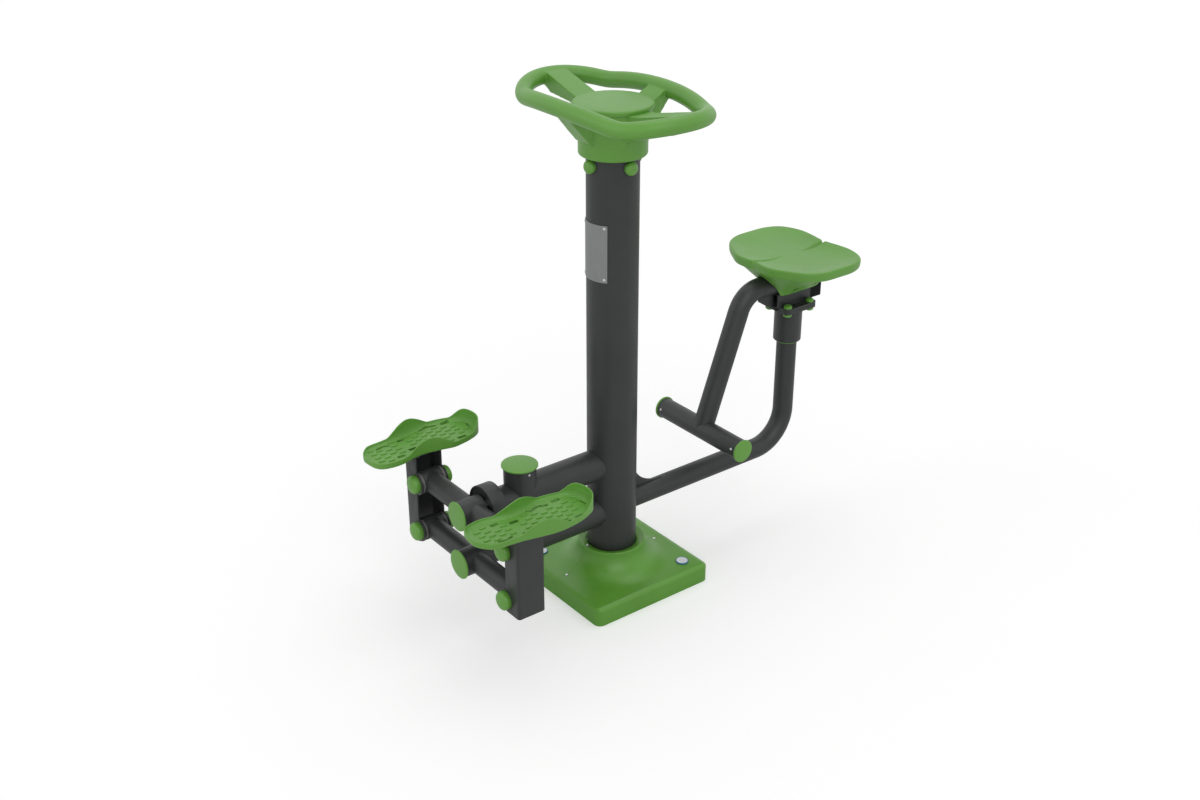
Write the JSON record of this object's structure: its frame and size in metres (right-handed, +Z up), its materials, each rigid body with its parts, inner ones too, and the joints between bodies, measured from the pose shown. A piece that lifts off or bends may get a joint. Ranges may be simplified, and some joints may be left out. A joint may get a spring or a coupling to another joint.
{
  "type": "outdoor air walker",
  "caption": "Outdoor station with two linked stepping pedals and a swivelling seat with footrest, on one post with a fixed handwheel.",
  "frame": {"origin": "post axis on the ground, at the underside of the ground plate", "axes": "+X from the post to the swivel seat, +Y to the left pedal, +Z up"},
  "size_m": [1.4332, 0.678, 1.4288],
  "materials": {
    "anthracite_steel": "powder coat, fine satin",
    "green_plastic": "moulded, satin",
    "cap_plastic": "moulded, satin",
    "cover_plastic": "moulded, semi-gloss",
    "disc_plastic": "moulded, plain",
    "bush_plastic": "turned polymer",
    "zinc_steel": "zinc plated",
    "bright_steel": "turned and ground",
    "galvanised_steel": "powder coat over zinc",
    "plate_aluminium": "satin anodised, bare face"
  },
  "bodies": {
    "frame": {"base_plate": "galvanised_steel", "cover_left": "cover_plastic", "cover_right": "cover_plastic", "cover_screws": "zinc_steel", "cover_discs": "disc_plastic", "main_post": "anthracite_steel", "info_plate": "plate_aluminium", "plate_rivets": "zinc_steel", "handwheel": "green_plastic", "wheel_stem": "anthracite_steel", "wheel_bolts": "zinc_steel", "wheel_bolt_caps": "cap_plastic", "beam_gusset": "anthracite_steel", "seat_beam": "anthracite_steel", "spindle": "bright_steel", "thrust_ring": "cap_plastic", "upper_beam": "anthracite_steel", "lower_beam": "anthracite_steel", "end_post": "anthracite_steel", "end_post_cap": "cap_plastic", "end_cap_screw": "zinc_steel", "bearing_drum": "anthracite_steel", "lower_neck": "anthracite_steel", "link_axles": "bright_steel", "axle_nuts": "zinc_steel"},
    "seat": {"swivel_sleeve": "anthracite_steel", "swivel_bushes": "bush_plastic", "seat_bracket": "anthracite_steel", "flange_bolts": "zinc_steel", "flange_bolt_caps": "cap_plastic", "arm_gusset": "anthracite_steel", "footrest_arm": "anthracite_steel", "footrest_bar": "anthracite_steel", "footrest_caps": "cap_plastic", "footrest_screws": "zinc_steel", "seat_shell": "green_plastic", "seat_screws": "zinc_steel"},
    "upper_link": {"upper_crossbar": "anthracite_steel", "upper_hub": "anthracite_steel", "upper_sleeves": "anthracite_steel", "upper_bushes": "bush_plastic", "upper_hub_cap": "cap_plastic"},
    "lower_link": {"lower_crossbar": "anthracite_steel", "lower_hub": "anthracite_steel", "lower_sleeves": "anthracite_steel", "lower_bushes": "bush_plastic", "lower_hub_cap": "cap_plastic"},
    "left_pedal": {"left_tray": "green_plastic", "left_channel": "anthracite_steel", "left_pivot_bolts": "zinc_steel", "left_pivot_nuts": "zinc_steel", "left_pivot_caps": "cap_plastic", "left_tray_screws": "zinc_steel"},
    "right_pedal": {"right_tray": "green_plastic", "right_channel": "anthracite_steel", "right_pivot_bolts": "zinc_steel", "right_pivot_nuts": "zinc_steel", "right_pivot_caps": "cap_plastic", "right_tray_screws": "zinc_steel"}
  },
  "joints": [
    {"name": "upper_swing", "type": "hinge", "parent": "frame", "child": "upper_link", "pos_m": [-0.4665, 0, 0.3775], "axis": [1, 0, 0], "range_deg": [-20, 20]},
    {"name": "lower_swing", "type": "hinge", "parent": "frame", "child": "lower_link", "pos_m": [-0.4665, 0, 0.2297], "axis": [1, 0, 0], "range_deg": [-20, 20]},
    {"name": "left_pedal_pivot", "type": "hinge", "parent": "upper_link", "child": "left_pedal", "pos_m": [-0.4665, 0.212, 0.3775], "axis": [1, 0, 0], "range_deg": [-20, 20]},
    {"name": "right_pedal_pivot", "type": "hinge", "parent": "upper_link", "child": "right_pedal", "pos_m": [-0.4665, -0.212, 0.3775], "axis": [1, 0, 0], "range_deg": [-20, 20]},
    {"name": "seat_swivel", "type": "hinge", "parent": "frame", "child": "seat", "pos_m": [0.6615, 0, 0.6], "axis": [0, 0, 1], "continuous": true}
  ],
  "couplings": [
    {"joint": "lower_swing", "follows": "upper_swing", "ratio": 1},
    {"joint": "left_pedal_pivot", "follows": "upper_swing", "ratio": -1},
    {"joint": "right_pedal_pivot", "follows": "upper_swing", "ratio": -1}
  ]
}
